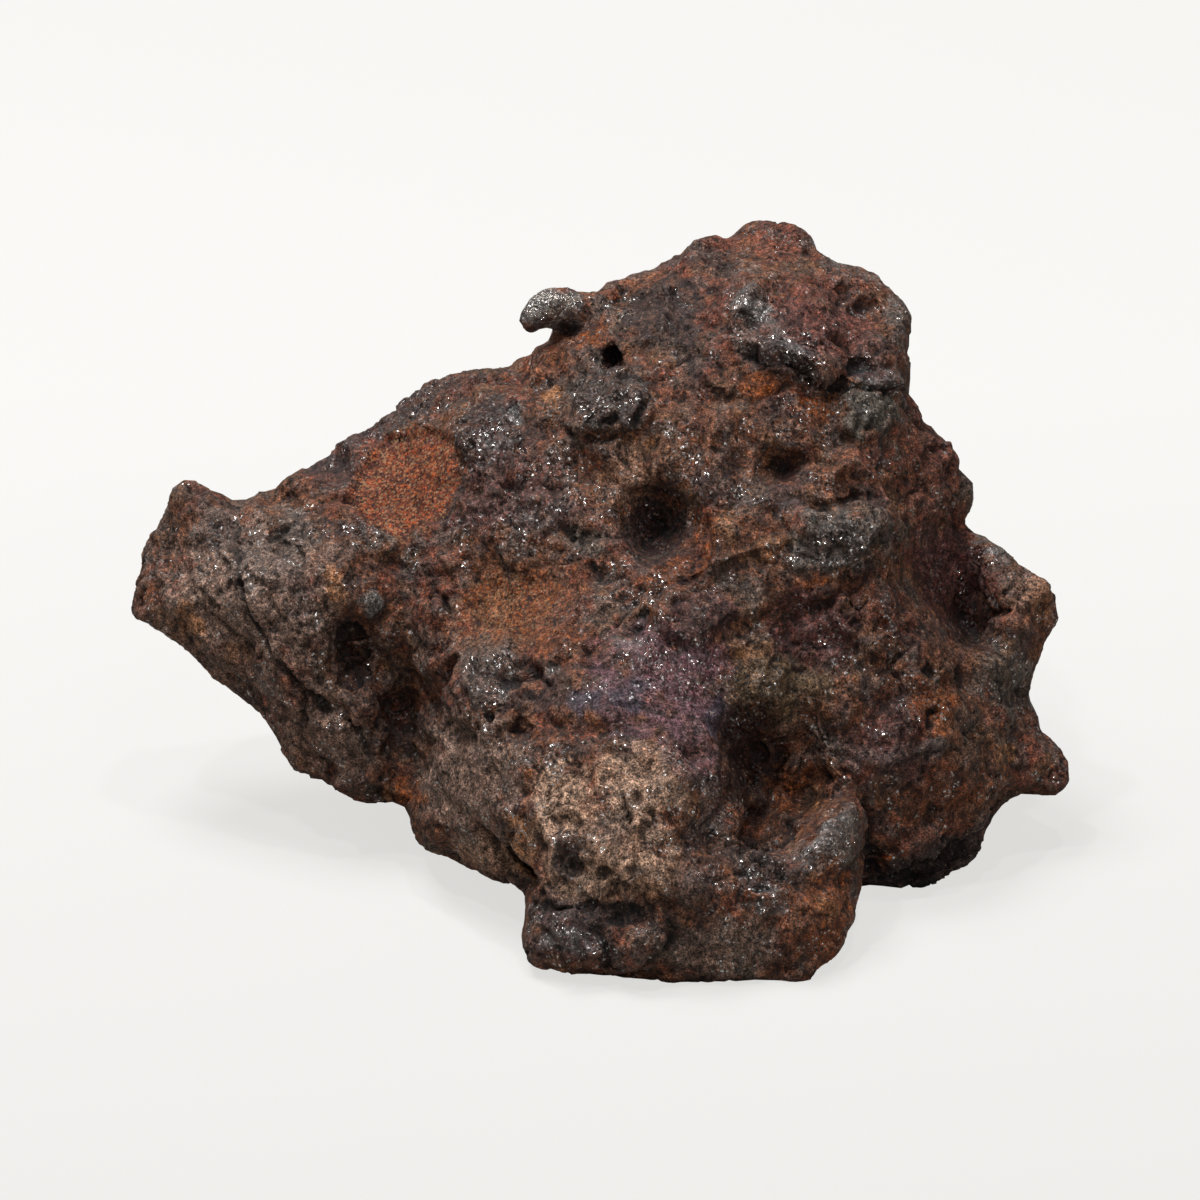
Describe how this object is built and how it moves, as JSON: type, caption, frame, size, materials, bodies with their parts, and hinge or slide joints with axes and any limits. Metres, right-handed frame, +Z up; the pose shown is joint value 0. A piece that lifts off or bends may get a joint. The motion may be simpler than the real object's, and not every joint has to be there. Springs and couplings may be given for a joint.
{
  "type": "iron meteorite",
  "caption": "Rusted iron meteorite specimen: one lumpy, pitted natural stone with a long snout, a hooked metal prong and a small flat to stand on.",
  "frame": {"origin": "bottom centre of the stone's box, on the surface that it stands on", "axes": "+Z up; +X towards the stone's right as it is shown, its longest extent; the broad pitted face looks towards -Y and leans back 24 degrees"},
  "size_m": [0.1195, 0.0922, 0.0717],
  "materials": {
    "rusted_iron": "rusted iron crust: matt brown to orange oxide with dark glinting scale"
  },
  "bodies": {
    "root": {"meteorite": "rusted_iron"}
  },
  "joints": []
}
